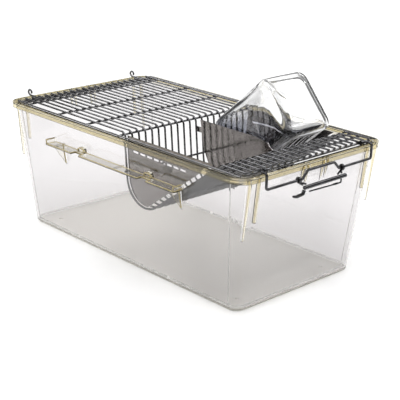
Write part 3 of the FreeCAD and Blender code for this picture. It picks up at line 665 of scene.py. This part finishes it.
# ---------------------------------------------------------------- latch details
def make_latch_leg(leg):
    """Wire wound nearly twice round the bail, its two tails meeting at the rod."""
    low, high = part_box(leg)
    near, far = sorted((low[1] / MM, high[1] / MM), key=abs)
    way = math.copysign(1, far)
    ring_y = far - way * 2.0
    foot_y = near + way * 2.5
    wire = 1.25
    around = 1.7 + wire + 0.12
    foot_z = LATCH_Z + 2.5 + wire
    turns = 1.75
    steps = 40
    coil = []
    for i in range(steps + 1):
        a = -math.pi / 2 + 2 * math.pi * turns * i / steps
        y = ring_y - way * 1.0 + way * 2.2 * i / steps
        coil.append(mm(BAIL_X + around * math.cos(a), y, BAIL_Z + around * math.sin(a)))
    inner_foot = mm(LATCH_X - 0.3, foot_y - way * 4.5, foot_z + 0.2)
    outer_foot = mm(LATCH_X + 0.4, foot_y + way * 2.6, foot_z + 0.2)
    bm = bmesh.new()
    sweep(bm, [inner_foot] + coil, wire * MM, 10)
    sweep(bm, [coil[-1], outer_foot], wire * MM, 10)
    piece(f"{leg}_wires", bm, "steel_latch", "latch", [leg])


def make_latch_spring():
    """Spring wire under the rod with a few coils near its loop."""
    wire_z = LATCH_Z - 8.0
    loop_y = 36.0
    coil_y = 30.0
    coil_length = 8.0
    turns = 5
    steps = 60
    hook = [mm(LATCH_X, loop_y, LATCH_Z - 2.7), mm(LATCH_X, loop_y, wire_z),
            mm(LATCH_X, coil_y + 1.0, wire_z)]
    path = smooth_path(hook, 1.5 * MM)
    for i in range(steps + 1):
        a = 2 * math.pi * turns * i / steps
        path.append(mm(LATCH_X + 0.75 * math.sin(a), coil_y - coil_length * i / steps,
                       wire_z + 0.35 * (1 - math.cos(a))))
    path += [mm(LATCH_X, 19.0, wire_z + 0.3), mm(LATCH_X, -24.0, wire_z + 1.5)]
    bm = bmesh.new()
    sweep(bm, path, 1.0 * MM, 10)
    piece("latch_spring_wire", bm, "steel_latch", "latch", ["latch_spring"])


def make_latch_tongue():
    """Bent strip: an upright at the rod's end, then a thumb tab with a curled lip."""
    line = smooth_path([mm(LATCH_X, -33.0, LATCH_Z - 2.8), mm(LATCH_X, -35.0, LATCH_Z - 7.6),
                        mm(LATCH_X, -47.0, LATCH_Z - 8.4), mm(LATCH_X, -51.4, LATCH_Z - 7.4)],
                       1.8 * MM)
    half_thick = 1.25 * MM
    upright_points = 8
    upright_half = 2.3 * MM
    tab_half = 2.45 * MM
    section = [(-1, -0.6), (-0.8, -1), (0.8, -1), (1, -0.6),
               (1, 0.6), (0.8, 1), (-0.8, 1), (-1, 0.6)]
    across = Vector((1, 0, 0))
    rings = []
    for i, p in enumerate(line):
        up = across.cross(heading_at(line, i)).normalized()
        half_wide = upright_half if i < upright_points else tab_half
        rings.append([p + across * x * half_wide + up * y * half_thick for x, y in section])
    bm = bmesh.new()
    skin_rings(bm, rings)
    piece("latch_thumb_tab", bm, "steel_latch", "latch", ["latch_tongue"])


make_latch_leg("latch_leg_front")
make_latch_leg("latch_leg_back")
make_latch_spring()
make_latch_tongue()


# ---------------------------------------------------------------- softened CAD edges
def soften(names, width):
    """Small bevel on the sharp edges of CAD nodes, in millimetres."""
    for name in names:
        bevel = frame["nodes"][name].modifiers.new("soft_edges", "BEVEL")
        bevel.width = width * MM
        bevel.segments = 2
        bevel.limit_method = "ANGLE"
        bevel.angle_limit = math.radians(40)


soften(["hopper_plate_front", "hopper_plate_back", "hopper_divider"], 0.2)
soften(["card_holder"], 0.35)
soften(["bail_eye_front", "bail_eye_back"], 0.3)


# ---------------------------------------------------------------- camera, light, floor
def make_camera():
    """Long lens from above the latch end and the holder's side, rolled slightly."""
    place = Vector((1.0455, -0.9636, 0.5742))
    target = Vector((-0.0279, 0.0559, 0.0441))
    roll = 0.022
    back = (place - target).normalized()
    right = Vector((0, 0, 1)).cross(back).normalized()
    up = back.cross(right)
    right_rolled = right * math.cos(roll) + up * math.sin(roll)
    up_rolled = up * math.cos(roll) - right * math.sin(roll)
    turn = Matrix((right_rolled, up_rolled, back)).transposed().to_4x4()
    camera = bpy.data.objects.new("camera", bpy.data.cameras.new("camera"))
    camera.matrix_world = Matrix.Translation(place) @ turn
    camera.data.sensor_width = 36.0
    camera.data.lens = 96.4
    bpy.context.collection.objects.link(camera)
    bpy.context.scene.camera = camera


def make_world():
    """Dark near the horizon and bright overhead, so that steel and plastic have contrast."""
    world = bpy.data.worlds.new("studio")
    bpy.context.scene.world = world
    world.use_nodes = True
    tree = world.node_tree
    where = node(tree, "ShaderNodeTexCoord").outputs["Generated"]
    upward = node(tree, "ShaderNodeSeparateXYZ", {"Vector": where}).outputs["Z"]
    sky = ramp(tree, upward, [(0.0, 0.04), (0.4, 0.08), (0.62, 0.95), (1.0, 1.0)])
    background = tree.nodes["Background"]
    tree.links.new(sky, background.inputs["Color"])
    background.inputs["Strength"].default_value = 1.4
    bpy.context.scene.view_settings.view_transform = "Standard"


def area_light(name, place, size, power):
    """Rectangular lamp aimed at the middle of the cage."""
    target = Vector((0, 0, 0.1))
    lamp = bpy.data.lights.new(name, "AREA")
    lamp.shape = "RECTANGLE"
    lamp.size, lamp.size_y = size
    lamp.energy = power
    obj = bpy.data.objects.new(name, lamp)
    obj.location = place
    obj.rotation_euler = (target - Vector(place)).to_track_quat("-Z", "Y").to_euler()
    bpy.context.collection.objects.link(obj)


def make_floor():
    """Pale paper, so wide that no view sees its edge, just clear of the tub's underside."""
    half = 30.0
    z = -0.0005
    mesh = bpy.data.meshes.new("floor")
    mesh.from_pydata([(sx * half, sy * half, z) for sx, sy in QUARTERS], [], [(0, 1, 2, 3)])
    material, tree, shader = new_material("floor_paper")
    grain = object_noise(tree, 30.0, 4.0)
    tree.links.new(ramp(tree, grain, [(0.3, 0.93), (0.7, 0.95)]), shader.inputs["Base Color"])
    shader.inputs["Roughness"].default_value = 0.9
    mesh.materials.append(material)
    floor = bpy.data.objects.new("floor", mesh)
    bpy.context.collection.objects.link(floor)


make_camera()
make_world()
area_light("key", (-2.1, -0.2, 2.3), (0.75, 0.75), 16.0)
area_light("fill", (0.3, -1.4, 1.9), (1.4, 1.0), 8.0)
area_light("rim", (0.4, 1.3, 1.2), (0.6, 0.5), 5.0)
make_floor()
